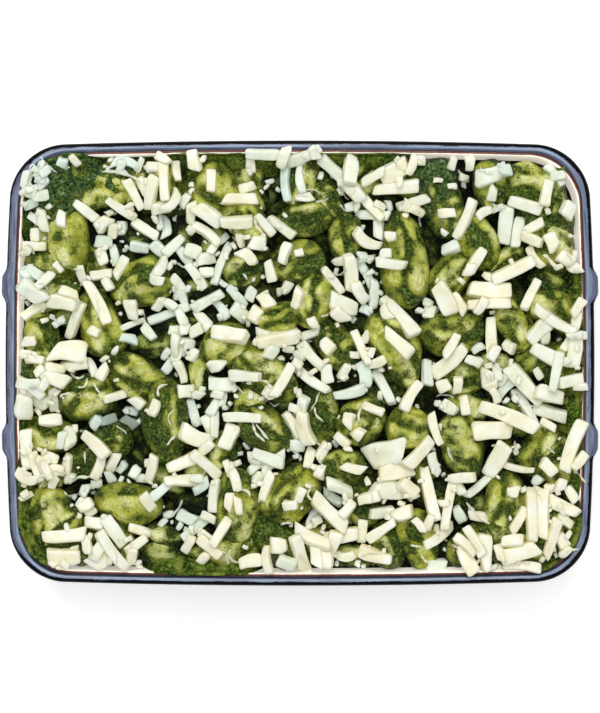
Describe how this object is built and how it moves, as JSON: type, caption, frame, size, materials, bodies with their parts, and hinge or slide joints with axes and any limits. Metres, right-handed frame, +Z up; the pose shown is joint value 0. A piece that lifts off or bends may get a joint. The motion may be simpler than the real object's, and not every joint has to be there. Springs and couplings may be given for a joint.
{
  "type": "tin of potato gnocchi in pesto with grated cheese",
  "caption": "Round-cornered enamelled roasting tin filled with plump potato gnocchi in green pesto, strewn with coarsely grated white cheese.",
  "frame": {"origin": "middle of the tin's flat underside", "axes": "+X along the tin's long side, +Y along its short side, +Z up out of the open top"},
  "size_m": [0.2534, 0.189, 0.0516],
  "materials": {
    "navy_enamel": "glossy slate-navy vitreous enamel on pressed steel, cream enamel inside",
    "potato_dough": "moist yellow-green potato dough, mottled with oily green pesto",
    "pesto": "oily dark green herb sauce",
    "white_cheese": "soft satin, coarsely grated cheese"
  },
  "bodies": {
    "root": {"baking_tin": "navy_enamel", "gnocchi_heap": "potato_dough"}
  },
  "joints": []
}
